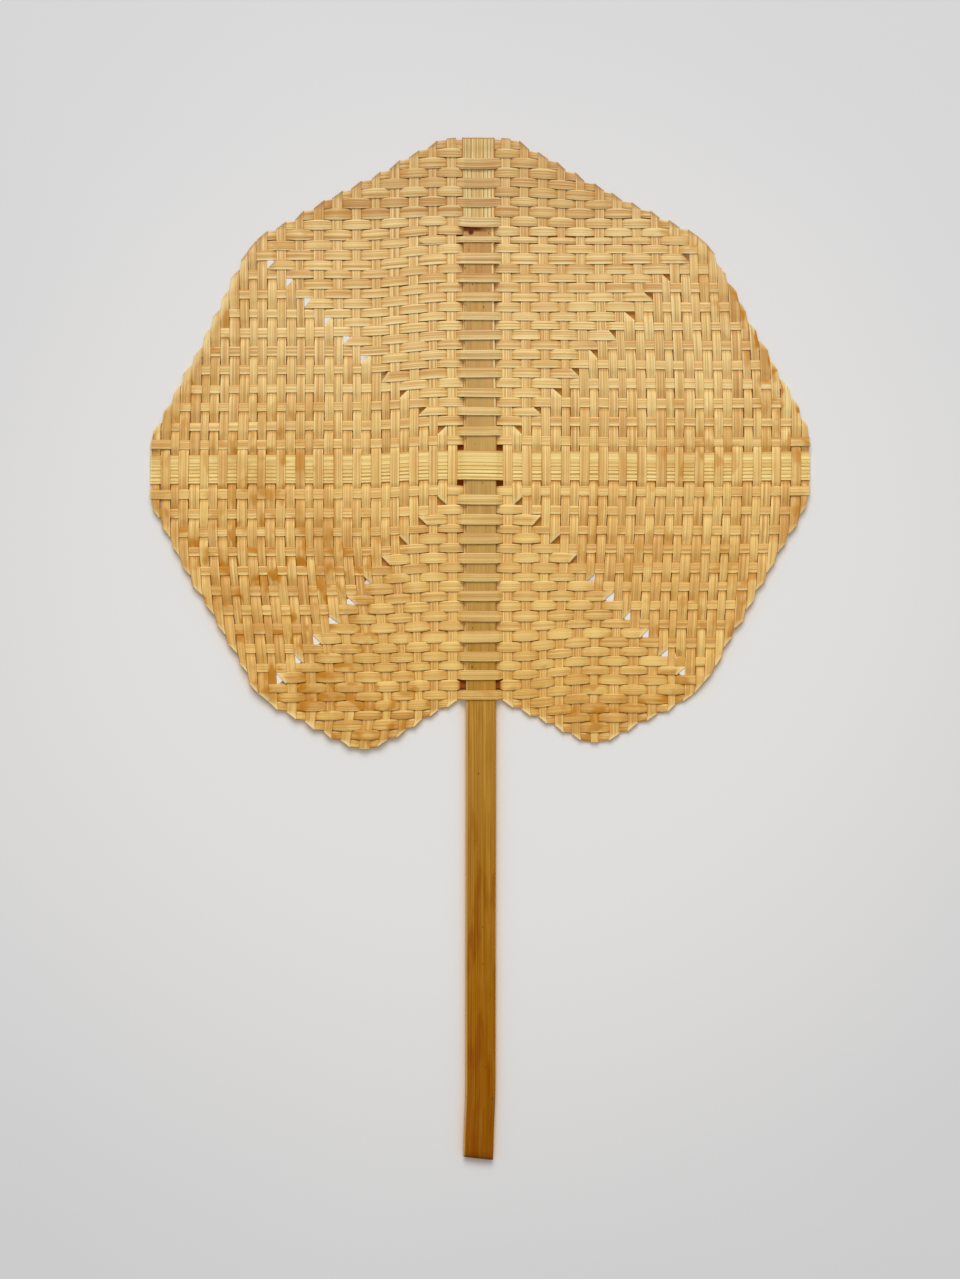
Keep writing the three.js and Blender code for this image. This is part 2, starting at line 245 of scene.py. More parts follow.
# A painted pool of light: the floor is paler and warmer towards its middle.
MIDDLE_LIGHT_LEVELS = (229, 228, 226)
MIDDLE_NEAR = 0.1
MIDDLE_FAR = 0.36
HOLE_GLOW_LEVELS = (230, 224, 217)
SHADE_LEVELS = (216, 146, 60)
SLOT_SHADE_LEVELS = (146, 60, 2)
HOLLOW_REACH = 0.004
# A painted warm shadow on the floor around the lower half of the blade.
WARM_SHADE_LEVELS = (226, 196, 160)
WARM_SHADE_REACH = 0.012
# Where shade is painted on the floor, as (distance at which it starts, distance at which it is full).
SHADE_RIM = (0.145, 0.142)
SHADE_LOBE = (0.117, 0.114)
SHADE_FOOT = (-0.1025, -0.101)
SLOT_ASIDE = (0.0125, 0.0115)
WARM_SHADE_BELOW = (0.01, -0.07)
# Where a painted glow shows white along a diagonal, in the same way. On the left the diagonals lie lower.
HOLE_HALF = (0.0042, 0.0032)
HOLES_FROM = (0.042, 0.056)
HOLES_TO = (0.0985, 0.0975)
HOLE_SKEW = 0.004
ROOM_LIGHT = 0.21
ROOM_LEVELS = (216, 215, 216)  # how the room looks beyond the floor
WINDOW_SIZE = 3.0
WINDOW_POWER = 148.0
WINDOW_PLACE = Vector((-0.15, 3.1, 3.5))
CEILING_SIZE = 1.2
CEILING_POWER = 26.0
CEILING_PLACE = Vector((0, 0.2, 3.0))
SENSOR = 36.0
CAMERA_HEIGHT = 1.6
PICTURE_HEIGHT = 0.5832
PICTURE_MIDDLE = 0.0043

# How the blade's colour changes from the lobes to the top: (share of the height, what the colour is times).
TINT_REACH = 125.0  # from the weave's middle down to where the tints start, in millimetres
TINT_SPAN = 0.275
TINTS = [
    (0.05, (0.97, 0.86, 0.58, 1)), (0.24, (0.97, 0.88, 0.68, 1)), (0.45, (1, 0.95, 0.8, 1)),
    (0.62, (1, 1, 1, 1)), (0.82, (0.97, 0.955, 0.97, 1)), (0.9, (0.87, 0.845, 0.87, 1)),
]
# The narrow strips are duller where they lie over the stick.
LANE_TINT = (0.88, 0.86, 0.86, 1)
LANE_NEAR = 0.0062  # from the blade's middle, in metres
LANE_FAR = 0.0085

UP = Vector((0, 0, 1))
ROW = "row"
COLUMN = "column"


def is_even(number):
    return number % 2 == 0


def odd_line(number):
    return 2 * number - 1


def line_offset(first, line):
    if line == 0:
        return 0.0
    return math.copysign(first + (abs(line) - 1) * PITCH, line)


def column_x(line):
    return line_offset(FIRST_COLUMN, line)


def row_y(line):
    return line_offset(FIRST_ROW, line)


def cross_at(way, line):
    """Where a strip that runs this way meets a line of the other way."""
    return column_x(line) if way == ROW else row_y(line)


def in_front(way, line, number):
    """1 where the strip on a line passes in front of that upright or weft, and -1 where it passes behind."""
    even = is_even(abs(line) + number)
    return 1 if even == (way == ROW) else -1


def lean(way, number):
    """The side to which an upright (met by rows) or a weft (met by columns) leans on the diagonal."""
    return 1 if is_even(number) == (way == ROW) else -1


def is_rounder(way, line):
    """Rows in the lower half and near the top are rounder than the others."""
    return way == ROW and (line < 0 or line > RING_LINES)


def straight_height(way, number, line):
    """The height of a straight upright or weft where a bent strip on the given line crosses it."""
    beyond = (abs(line) - odd_line(number)) * PITCH
    share = (RAMP_LINES * PITCH - beyond) / (RAMP_LINES * PITCH - HALF)
    return lean(way, number) * STACK / 2 * min(max(share, 0), 1)


def crossing_height(way, line, number):
    over = in_front(way, line, number)
    tucked = TUCK if way == COLUMN and abs(line) == TUCK_LINE and number == 1 else 0
    rise = ROUND_RISE if is_rounder(way, line) else RISE
    return straight_height(way, number, line) + over * (rise + tucked)


def over_stick(row):
    return in_front(ROW, row, 0) > 0 and row <= STICK_TIP_ROW


def lane_height(way, line):
    """The height of a strip where it crosses the stick and spine, or the band."""
    if way == COLUMN:
        return in_front(COLUMN, line, 0) * STACK
    if in_front(ROW, line, 0) < 0:
        return SPINE_HEIGHT - STACK
    if over_stick(line):
        return CREST_HEIGHT
    return SPINE_HEIGHT + STACK + (TUCK if line == TUCK_LINE else 0)


def lane_edge(way, line):
    if way == COLUMN:
        return BAND_WIDTH / 2 + EASE
    if in_front(ROW, line, 0) < 0:
        return SPINE_WIDTH / 2 - (SLOT_LAP if line == SLOT_ROW else SPINE_LAP)
    return (STICK_WIDTH if over_stick(line) else SPINE_WIDTH) / 2 + EASE


# Heights along a line. A key is (place, height, swell), and a strip is level at each key.
def line_keys(way, line):
    keys = []

    def level(centre, half_length, height, swell=0):
        for middle in (-centre, centre):
            keys.append((middle - half_length, height, swell))
            keys.append((middle + half_length, height, swell))

    size = abs(line)
    for number in range(1, RINGS + 1):
        if odd_line(number) < size:
            swell = in_front(way, line, number)
            level(cross_at(way, odd_line(number)), FLOAT_FLAT, crossing_height(way, line, number), swell)
    swell = in_front(way, line, 0)
    height = lane_height(way, line)
    edge = lane_edge(way, line)
    bulge = LANE_BULGE if swell > 0 and size < OUTER_LINE else 0
    if way == ROW and line == SLOT_ROW:
        swell = SLOT_SWELL
    keys += [(-edge, height, swell), (0, height + bulge, swell), (edge, height, swell)]
    if not is_even(line) and size < RING_LINES:
        number = (size + 1) // 2
        crossing_way = COLUMN if way == ROW else ROW
        level(cross_at(way, size), HALF, -lean(way, number) * STACK / 2)
        for other in range(size + 1, OUTER_LINE + 1):
            over = -in_front(crossing_way, other, number)
            height = straight_height(crossing_way, number, other) + over * YIELD
            level(cross_at(way, other), STRAIGHT_FLAT, height, over)
    return sorted(keys)


def between(keys, at):
    """Height and swell at a place, eased from key to key."""
    n = bisect.bisect_right(keys, (at, math.inf, math.inf))
    if n == 0:
        return keys[0][1:]
    if n == len(keys):
        return keys[-1][1:]
    before, after = keys[n - 1], keys[n]
    share = (at - before[0]) / max(after[0] - before[0], 1e-6)
    ease = (1 - math.cos(math.pi * share)) / 2
    return tuple(a + (b - a) * ease for a, b in zip(before[1:], after[1:]))


def heading_of(way, forward):
    return Vector((forward, 0, 0)) if way == ROW else Vector((0, forward, 0))


def left_of(heading):
    return Vector((-heading.y, heading.x, 0))


def place(way, line, at, height, shift=0.0):
    if way == ROW:
        return Vector((at, row_y(line) + shift, height))
    return Vector((column_x(line) + shift, at, height))


def bow(way, line, at):
    """How far a strip strays from its line where it lies over the stick or spine."""
    if way == COLUMN or line == 0 or in_front(ROW, line, 0) < 0:
        return 0.0
    most = TOP_BOW if line > RING_LINES else ROW_BOW
    return -most * max(1 - (at / FIRST_COLUMN) ** 2, 0)


class Path:
    """The cross-sections of one strip from end to end: centre, half of its width, normal, crease and recess.

    The strip's two edges and two faces change sides at each fold, and crease is 1 there.
    The recess shade is a pair, for the front and the back of the fan: how much shade is painted on the strip.
    It is up to 1 where it passes behind another, seen from that side, and more in the slots beside the stick.
    """

    def __init__(self, width=STRIP_WIDTH, step=STEP):
        self.half = width / 2
        self.step = step
        self.sections = []
        self.shares = [(0.0, 1.0, 1.0)]
        self.side = 1
        self.face = 1
        self.slanted = False

    def add(self, centre, half, normal, crease=0.0, recess_shade=(0.0, 0.0)):
        self.sections.append((centre, half, normal, crease, recess_shade))

    def join(self, centre, half, normal, crease=0.0):
        """Adds a section after a few slanting ones that lead to it."""
        last_centre, last_half, last_normal, last_crease, _ = self.sections[-1]
        for n in range(1, SKEW_STEPS + 1):
            share = n / (SKEW_STEPS + 1)
            turned = last_normal.lerp(normal, share).normalized()
            creased = last_crease + (crease - last_crease) * share
            self.add(last_centre.lerp(centre, share), last_half.lerp(half, share), turned, creased)
        self.add(centre, half, normal, crease)

    def run(self, way, line, start, stop, first=None, last=None, keys=None):
        """A stretch on one line. first and last are the heights at its two ends, if not those of the line."""
        forward = math.copysign(1, stop - start)
        low, high = min(start, stop), max(start, stop)
        stretch = [key for key in keys or line_keys(way, line) if low + EASE < key[0] < high - EASE]
        for at, height in ((start, first), (stop, last)):
            if height is not None:
                stretch.append((at, height, 0))
        stretch.sort()
        heading = heading_of(way, forward)
        left = left_of(heading)
        swelling = ROUND_SWELL if is_rounder(way, line) else PLAIN_SWELL
        count = max(2, round((high - low) / self.step))
        for n in range(count + 1):
            at = start + (stop - start) * n / count
            height, swell = between(stretch, at)
            nudge = self.step / 4
            after, before = between(stretch, at + nudge), between(stretch, at - nudge)
            climb = forward * (after[0] - before[0]) / (2 * nudge)
            # On a column, painted shade is full below a crossing strip, as the light falls from above; on a
            # row it is even.
            shaded = 1 if after[1] < before[1] else LIT_SIDE
            if way == ROW:
                shaded = ROW_SIDE if swell > SLOT_FROM else 1
            normal = (UP - heading * climb).normalized() * self.face
            half = left * (self.side * (self.half + swelling * swell))
            centre = place(way, line, at, height, bow(way, line, at))
            if n == 0 and self.slanted:
                self.join(centre, half, normal)
                self.slanted = False
            else:
                recess_shade = max(-swell, 0) * shaded, max(swell, 0) * ROW_SIDE
                self.add(centre, half, normal, recess_shade=recess_shade)

    def fold(self, x, y, heading, height, new_heading, new_height):
        """Turns the strip over: at 45 degrees into a new line, or straight back on itself."""
        turn = heading.x * new_heading.y - heading.y * new_heading.x
        outwards = (heading - new_heading).normalized()
        if turn:
            radius = math.copysign(FOLD_RADIUS, height - new_height)
            rise = (new_height - height) / 2 + radius
            half = (heading + new_heading) * self.half + UP * rise
            half *= self.side * turn
        else:
            radius = (height - new_height) / 2
            half = left_of(heading) * (self.side * self.half)
        axis = Vector((x, y, (height + new_height) / 2))
        reach = min(abs(radius), FOLD_RADIUS)
        for n in range(FOLD_STEPS + 1):
            angle = math.pi * n / FOLD_STEPS
            centre = axis + outwards * (reach * math.sin(angle)) + UP * (radius * math.cos(angle))
            normal = UP * math.cos(angle) + outwards * math.copysign(math.sin(angle), radius)
            if n == 0 and self.sections:
                self.join(centre, half, normal * self.face, 1.0)
            else:
                self.add(centre, half, normal * self.face, 1.0)
        self.side = -self.side
        self.face = -self.face
        self.slanted = True


LEAD = HALF + FOLD_LEAD


def ring_path(number):
    """One strip folded at four corners. Its two ends meet behind the cross band.

    The outermost one starts on the upper row, where its free end shows, and goes round the other way.
    """
    line = 2 * number
    x, y = column_x(line), row_y(line)
    ends = {ROW: x - LEAD, COLUMN: y - LEAD}
    heights = {way: straight_height(way, number, line) + in_front(way, line, number) * STACK for way in ends}
    north, east = heading_of(COLUMN, 1), heading_of(ROW, 1)
    path = Path()
    headings = -north, east, north, -east, -north
    start, stop = -END_GAP / 2, END_GAP / 2
    first = keys = None
    if number == RINGS:
        path.shares = FREE_END
        headings = east, -north, -east, north, east
        start, stop = FREE_END_AT, column_x(DOUBLED_TO)
        keys = [(at, height + (DOUBLED_LIFT if at < stop else 0), swell)
                for at, height, swell in line_keys(ROW, line)]
    for heading, turned in zip(headings, headings[1:]):
        way, new_way = (ROW, COLUMN) if heading.x else (COLUMN, ROW)
        corner = heading - turned
        sides = {ROW: round(corner.y) * line, COLUMN: round(corner.x) * line}
        path.run(way, sides[way], start, (heading.x + heading.y) * ends[way], first, heights[way], keys)
        path.fold(corner.x * x, corner.y * y, heading, heights[way], turned, heights[new_way])
        start = -(turned.x + turned.y) * ends[new_way]
        first, keys = heights[new_way], None
    path.run(new_way, sides[new_way], start, stop, first)
    return path


def ends_meet(way, line):
    """Where two strip ends meet in an outer line, and their height there."""
    if in_front(way, line, 0) < 0:
        return 0.0, lane_height(way, line)
    return cross_at(way, 1), crossing_height(way, line, 1)


def lobe_ends_meet(row):
    number = MIDDLE_UPRIGHT if in_front(ROW, row, MIDDLE_UPRIGHT) < 0 else MIDDLE_UPRIGHT + 1
    return column_x(odd_line(number)), crossing_height(ROW, row, number)


def wrap_out(path, way, line, outward, edge_at, height, to_side, tucked):
    """Wraps the end of a strip round the outermost line and lays it on the next lines, tucked or cut short.

    edge_at gives the place of the outermost line, or of a line that many lines further in.
    """
    edge = outward * (edge_at(0) + HALF + LAYER_GAP)
    heading = heading_of(way, outward)
    corner = place(way, line, edge, 0)
    turned = height + to_side * 2 * STACK
    path.fold(corner.x, corner.y, heading, height, -heading, turned)
    tail = edge_at(2) + EASE if tucked else edge_at(1) - HALF
    second = edge_at(1)
    keys = [
        (outward * edge_at(0), turned, 0),
        (outward * (second + EASE), height + to_side * STACK, 0),
        (outward * tail, height + to_side * STACK, 0),
    ]
    path.run(way, line, edge - outward * FOLD_LEAD, outward * tail, turned, keys[-1][1], sorted(keys))


def outer_row(inward):
    return row_y(OUTER_LINE - inward)


def outer_column(inward):
    return column_x(OUTER_LINE - inward)


def lobe_row(inward):
    return row_y(RING_LINES + LOBE_ROWS - inward)


def wrap_edge(edge_at):
    return edge_at(0) + HALF + LAYER_GAP - FOLD_LEAD


def upright_path(number, side):
    """The upper end is folded into a row at the top and the lower end into a row of the lobe.

    The first has its upper end wrapped instead, and the middle one its lower end.
    """
    column = side * odd_line(number)
    x = column_x(column)
    south = heading_of(COLUMN, -1)
    partner = RINGS + 1 - number
    lower_row = -(RING_LINES + min(number, partner))
    bottom = row_y(lower_row)
    inwards = 1 if partner > number else -1
    towards = side * inwards
    meet, meet_height = lobe_ends_meet(lower_row)
    lower_end = side * meet - towards * END_GAP / 2
    height_below = straight_height(ROW, number, lower_row)
    lower_height = height_below + in_front(ROW, lower_row, number + inwards) * STACK
    path = Path()
    if number == 1:
        # Made from the lobe upwards, so that the wrapped end comes last.
        path.run(ROW, lower_row, lower_end, x + towards * LEAD, meet_height, lower_height)
        path.fold(x, bottom, heading_of(ROW, -towards), lower_height, -south, 0)
        path.run(COLUMN, column, bottom + LEAD, wrap_edge(outer_row), 0, 0)
        wrap_out(path, COLUMN, column, 1, outer_row, 0, -1, tucked=False)
        return path
    upper_row = OUTER_LINE + 2 - number
    top = row_y(upper_row)
    height = straight_height(ROW, number, upper_row)
    upper_height = height + in_front(ROW, upper_row, number - 1) * STACK
    upper_meet, first = ends_meet(ROW, upper_row)
    path.run(ROW, upper_row, upper_meet + side * END_GAP / 2, x - side * LEAD, first, upper_height)
    path.fold(x, top, heading_of(ROW, side), upper_height, south, height)
    if partner == number:
        path.run(COLUMN, column, top - LEAD, -wrap_edge(lobe_row), height, 0)
        wrap_out(path, COLUMN, column, -1, lobe_row, 0, -1, tucked=False)
        return path
    path.run(COLUMN, column, top - LEAD, bottom + LEAD, height, height_below)
    path.fold(x, bottom, south, height_below, heading_of(ROW, towards), lower_height)
    path.run(ROW, lower_row, x + towards * LEAD, lower_end, lower_height, meet_height)
    return path


def weft_path(number, side):
    """A row across the blade whose ends are folded into the outer columns on both sides, or wrapped."""
    row = side * odd_line(number)
    y = row_y(row)
    path = Path()
    if number == 1:
        return wrapped_row(path, row, 1, tucked=True)
    column = OUTER_LINE + 2 - number
    x = column_x(column)
    meet, meet_height = ends_meet(COLUMN, column)
    height = straight_height(COLUMN, number, column)
    column_height = height + in_front(COLUMN, column, number - 1) * STACK
    stop = meet + side * END_GAP / 2
    east = heading_of(ROW, 1)
    outwards = heading_of(COLUMN, side)
    path.run(COLUMN, -column, stop, y - side * LEAD, meet_height, column_height)
    path.fold(-x, y, outwards, column_height, east, height)
    path.run(ROW, row, -x + LEAD, x - LEAD, height, height)
    path.fold(x, y, east, height, -outwards, column_height)
    path.run(COLUMN, column, y - side * LEAD, stop, column_height, meet_height)
    return path


def wrapped_row(path, row, to_side, tucked, keys=None):
    """A strip across the blade with both ends wrapped round the outermost columns."""
    start = Path(path.half * 2, path.step)
    wrap_out(start, ROW, row, -1, outer_column, 0, to_side, tucked)
    path.sections = [(centre, -half, *rest) for centre, half, *rest in reversed(start.sections)]
    path.slanted = True
    edge = wrap_edge(outer_column)
    path.run(ROW, row, -edge, edge, 0, 0, keys)
    wrap_out(path, ROW, row, 1, outer_column, 0, to_side, tucked)
    return path


def band_path():
    """The cross band passes in front of the stick, and both its ends are wrapped to the back."""
    keys = [(0, CREST_HEIGHT + LANE_BULGE, 0)]
    for side in (-1, 1):
        keys.append((side * (STICK_WIDTH / 2 + EASE), CREST_HEIGHT, 0))
        keys.append((side * (column_x(1) - HALF), 0, 0))
        for column in range(1, OUTER_LINE + 1):
            keys.append((side * column_x(column), -in_front(COLUMN, column, 0) * BAND_YIELD, 0))
    return wrapped_row(Path(BAND_WIDTH, WIDE_STEP), 0, -1, False, sorted(keys))


def spine_path():
    """The spine lies behind the stick, and its upper end is wrapped to the front."""
    path = Path(SPINE_WIDTH, WIDE_STEP)
    keys = [(0, SPINE_HEIGHT, 0)]
    path.run(COLUMN, 0, row_y(2 - RING_LINES), wrap_edge(outer_row), keys=keys)
    wrap_out(path, COLUMN, 0, 1, outer_row, SPINE_HEIGHT, 1, tucked=True)
    return path


# Cross-sections, as (share of half the width, share of half the thickness), over the front and back again.
STRIP_FRONT = [(1, 0), (0.97, 0.55), (0.9, 0.88), (0.45, 1.14), (0, 1.24)]
STRIP_BACK = [(-0.97, -0.7), (-0.88, -1), (0.88, -1), (0.97, -0.7)]
STRIP_OUTLINE = STRIP_FRONT + [(-a, b) for a, b in reversed(STRIP_FRONT[:-1])] + STRIP_BACK
STRIP_SECTION = [(across, up, 0) for across, up in STRIP_OUTLINE]


def grooved_section(grooves, width):
    """A wide strip with grooves along both faces. Each point is (across, up, how deep in a groove)."""
    front = []
    for n in range(WIDE_POINTS + 1):
        share = n / WIDE_POINTS
        groove = max(depth * math.exp(-((share - at) * width / GROOVE_REACH) ** 2) for at, depth in grooves)
        up = 1 - GROOVE_DEPTH * 2 / STRIP_THICKNESS * groove
        front.append((WIDE_SHOULDER * (1 - 2 * share), up, groove))
    back = [(across, -up, groove) for across, up, groove in reversed(front)]
    return [(1, 0, 0)] + front + [(-1, 0, 0)] + back


def smooth(start, end, value):
    share = min(max((value - start) / (end - start), 0), 1)
    return share * share * (3 - 2 * share)


def waves(table, x, y):
    return sum(reach * math.sin(x / across + y / up + phase) for reach, across, up, phase in table)


def rim_pull(x, y):
    """How far a point of the rim moves so that the corners of the folds stand out less."""
    aside, away = abs(x), abs(y)
    sides = [(aside + RIM_SLOPE * away - FLANK_RIM, 1, RIM_SLOPE)]
    if y > 0:
        sides.append((RIM_SLOPE * aside + away - TOP_RIM, RIM_SLOPE, 1))
    else:
        from_tip = max(aside, FIRST_COLUMN) - column_x(odd_line(MIDDLE_UPRIGHT))
        slope = math.copysign(RIM_SLOPE, from_tip)
        sides.append((slope * from_tip + away - LOBE_RIM, slope, 1))
    beyond, out_x, out_y = max(sides)
    pull = RIM_PULL * max(beyond, 0) / (1 + RIM_SLOPE ** 2)
    return -math.copysign(out_x, x * out_x) * pull, -math.copysign(out_y, y) * pull


def settle(point):
    """The unevenness of a fan made by hand: its sides lean and drop, and its lines wander a little."""
    x, y, z = point
    aside = smooth(FIRST_COLUMN, SIDE_REACH, abs(x))
    low = smooth(*LOBE_OVER, -y) * aside
    left_high = smooth(0, LEFT_TOP_TO, y)
    right_high = smooth(*RIGHT_TOP_OVER, y)
    high = left_high + (right_high - left_high) * smooth(-SIDES_MEET, SIDES_MEET, x)
    crown = smooth(*CROWN_OVER, y)
    if x > 0:
        cut = CORNER_CUT * max(x - y - CORNER_AT, 0) if y < 0 else 0
        lean_in = smooth(0, RIGHT_LEAN_TO, -y)
        dx = -high * (TOP_SHIFT + RIGHT_SQUEEZE * x) - RIGHT_LEAN * lean_in * aside - cut
        dy = RIGHT_LOBE_LIFT * low - RIGHT_CROWN_DROP * crown * aside + cut
        curl = RIGHT_LOBE_CURL
    else:
        lean_in = smooth(*LEFT_LEAN_OVER, -y)
        lean_in *= 1 - LEFT_TIP_EASE * smooth(*TIP_OVER, -y)
        dx = -high * (TOP_SHIFT + LEFT_SQUEEZE * x) + LEFT_LEAN * lean_in * aside
        drop = LEFT_DROP + LEFT_TOP_DROP * high - LEFT_CROWN_LIFT * crown
        dy = -LEFT_LOBE_DROP * low - drop * aside
        curl = LEFT_LOBE_CURL
    dx += aside * waves(COLUMN_WAVES, x, y)
    away = smooth(BAND_WIDTH / 2, FIRST_ROW + PITCH, abs(y))
    dy += away * waves(ROW_WAVES, x, y)
    from_thin = y - row_y(RING_LINES)
    beside = smooth(FREE_END_AT, 0, x) * smooth(column_x(RING_LINES), SIDE_REACH, x)
    dy -= CLOSING * from_thin * math.exp(-(from_thin / CLOSING_REACH) ** 2) * beside
    pull_x, pull_y = rim_pull(x, y)
    dx += pull_x
    dy += pull_y
    from_stick = smooth(FIRST_COLUMN, CENTRE_REACH, abs(x))
    dy -= CENTRE_DROP * smooth(*CENTRE_OVER, -y) * (1 - from_stick)
    dx += aside * waves(WANDER_ASIDE, x, y)
    dy += waves(WANDER_UP, x, y)
    return Vector((x + dx, y + dy, z + curl * low))


def wear_at(x, y):
    """How worn and stained the blade is: most at its rim, in the lobes and beside the band's ends."""
    aside, away = abs(x), abs(y)
    flank = (aside + FLANK_FALL * away) / FLANK_RIM
    top = (TOP_FALL * aside + away) / TOP_WEAR
    rim = smooth(*RIM_WEAR, max(flank, top)) * (RIM_WORN - RIM_LESS * smooth(*RIM_LESS_ABOVE, y))
    from_stick = LOBE_LEAST + (1 - LOBE_LEAST) * smooth(*LOBE_ASIDE, aside)
    lobe = LOBE_WORN * smooth(*LOBE_WEAR, -y) * from_stick
    ends = LEFT_END_WORN if x < 0 else RIGHT_END_WORN
    ends *= math.exp(-((aside - END_WEAR_AT) / END_WEAR_ACROSS) ** 2 - (y / END_WEAR_UP) ** 2)
    low = LEFT_LOW_WORN * smooth(*LOW_ASIDE, -x) + RIGHT_LOW_WORN * smooth(*LOW_ASIDE, x)
    low *= smooth(*LOW_WEAR, -y)
    return max(rim, lobe, ends, low)


def roundness(x, y):
    """1 where the rows are rounder: below the middle and near the top."""
    beyond = max(-y, y - row_y(RING_LINES))
    return smooth(0, 2 * SECTOR_BLEND, beyond) * smooth(-SECTOR_BLEND, SECTOR_BLEND, abs(y) - abs(x))


def rim_highlight(x, y):
    """How strong the painted highlight on the blade's edge is at its upper left."""
    beyond = abs(x) + RIM_SLOPE * abs(y) - FLANK_RIM
    return smooth(*HIGHLIGHT_EDGE, beyond) * smooth(*HIGHLIGHT_ABOVE, y) * smooth(*HIGHLIGHT_LEFT, x)


def closed_mesh(name, points, size, grain, turned=False):
    """A mesh through rings of points, size in each, closed at both ends. Turned ones go the other way."""
    sides = []
    for start in range(0, len(points) - size, size):
        for p in range(size):
            a, b = start + p, start + (p + 1) % size
            sides.append((a, b, b + size, a + size))
    caps = [tuple(reversed(range(size))), tuple(range(len(points) - size, len(points)))]
    if turned:
        sides = [(a, d, c, b) for a, b, c, d in sides]
        caps = [cap[::-1] for cap in caps]
    mesh = bpy.data.meshes.new(name)
    mesh.from_pydata(points, [], sides + caps)
    mesh.polygons.foreach_set("use_smooth", [True] * len(sides) + [False] * len(caps))
    mesh.attributes.new("grain", "FLOAT_VECTOR", "POINT").data.foreach_set("vector", grain)
    mesh.update()
    return mesh


FAN_SEED = 11
STRIP_SEEDS = (10, 900)
STRIP_VALUES = ("tone", "wear", "groove", "crease", "recess_shade", "lip_and_highlight", "side")


def strip_mesh(name, path, section, seed):
    """A strip through the path's sections, with what its material needs at each point."""
    chance = random.Random(seed)
    tone = chance.random()
    width = WIDTH_MOST - (WIDTH_MOST - WIDTH_LEAST) * chance.random() ** 2
    phase = chance.uniform(0, 2 * math.pi)
    points, grain, values = [], [], []
    along = 0.0
    last = None
    for centre, half, normal, crease, recess_shade in path.sections:
        along += (centre - last).length if last else 0
        last = centre
        width_share, tone_share = between(path.shares, along)
        out = half.normalized()
        centre = centre + out * (SWAY * math.sin(along / SWAY_LENGTH + phase))
        for across, up, groove in section:
            drawn = centre + half * (across * width * width_share) + normal * (up * STRIP_THICKNESS / 2)
            spot = settle(drawn)
            points.append(WEAVE_ORIGIN + spot * MM)
            grain.extend((along, across * path.half, seed))
            # A pale lower edge on each row, and a painted highlight on the upper edge of the rounder rows.
            lower, upper = max(-out.y * across, 0), max(out.y * across, 0)
            rounder = roundness(drawn.x, drawn.y)
            lip_and_highlight = lower * (1 - (1 - LOWER_LIP) * rounder) + UPPER_HIGHLIGHT * upper * rounder
            # Painted shade along the edges, less on the upper edges of the rounder rows, where the light
            # falls.
            side = abs(across) * (1 - UPPER_EASE * upper * rounder)
            # Painted highlights on the folds and the upper left edge, and painted shade on the folds near the
            # top.
            pale = LOBE_CREASE_HIGHLIGHT * smooth(*LOBE_OVER, -drawn.y)
            dull = TOP_CREASE_SHADE * smooth(*TOP_CREASE_SHADE_OVER, drawn.y)
            lit_edge = RIM_HIGHLIGHT * rim_highlight(drawn.x, drawn.y)
            creased = max(crease, lit_edge) + crease * (pale + dull)
            # How much shade is painted here, seen from the side of the fan that this point faces.
            behind = recess_shade[0] if normal.z * up >= 0 else recess_shade[1]
            worn = wear_at(spot.x, spot.y)
            values.append((tone * tone_share, worn, groove, creased, behind, lip_and_highlight, side))
    mesh = closed_mesh(name, points, len(section), grain)
    for label, column in zip(STRIP_VALUES, zip(*values)):
        mesh.attributes.new(label, "FLOAT", "POINT").data.foreach_set("value", column)
    return mesh


def add_piece(node, mesh, material):
    piece = bpy.data.objects.new(mesh.name, mesh)
    bpy.context.scene.collection.objects.link(piece)
    mesh.materials.append(material)
    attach(piece, "root")
    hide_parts(node)


def stick_mesh(name):
    """The stick: a flat slat, a little crowned, not quite straight, with a slanting cut at the butt."""
    butt = row_y(-RING_LINES) - HALF - GRIP_LENGTH
    tip = row_y(STICK_TIP_ROW)
    count = round((tip - butt) / STICK_STEP)
    stations = [butt + (tip - butt) * n / count for n in range(count + 1)]
    rounding = [(0, STICK_ROUND), (STICK_ROUND * ROUND_ALONG, STICK_ROUND * ROUND_INSET)]
    places = [(butt + along, inset) for along, inset in rounding]
    places += [(y, 0) for y in stations[1:-1]]
    places += [(tip - along, inset) for along, inset in reversed(rounding)]
    middle_height = (STICK_BACK + STICK_FRONT) / 2
    half_width, half_thick = STICK_WIDTH / 2, STICK_THICKNESS / 2
    outline = []
    for n in range(STICK_POINTS):
        angle = 2 * math.pi * n / STICK_POINTS
        c, s = math.cos(angle), math.sin(angle)
        across = math.copysign(abs(c) ** (2 / STICK_SQUARE), c)
        up = math.copysign(abs(s) ** (2 / STICK_SQUARE), s)
        outline.append((across, up))
    points, grain = [], []
    for y, inset in places:
        slant = 1 - smooth(0, STICK_CUT_REACH, y - butt)
        middle, = between(STICK_WANDER, y)
        for across, up in outline:
            x = middle + across * (half_width - inset)
            crown = STICK_CROWN * across * across if up > 0 else 0
            z = middle_height + up * (half_thick - inset) - crown
            points.append(WEAVE_ORIGIN + Vector((x, y + slant * STICK_CUT * (0.5 - across / 2), z)) * MM)
            grain.extend((y - butt, across * half_width, 0))
    return closed_mesh(name, points, STICK_POINTS, grain, turned=True)


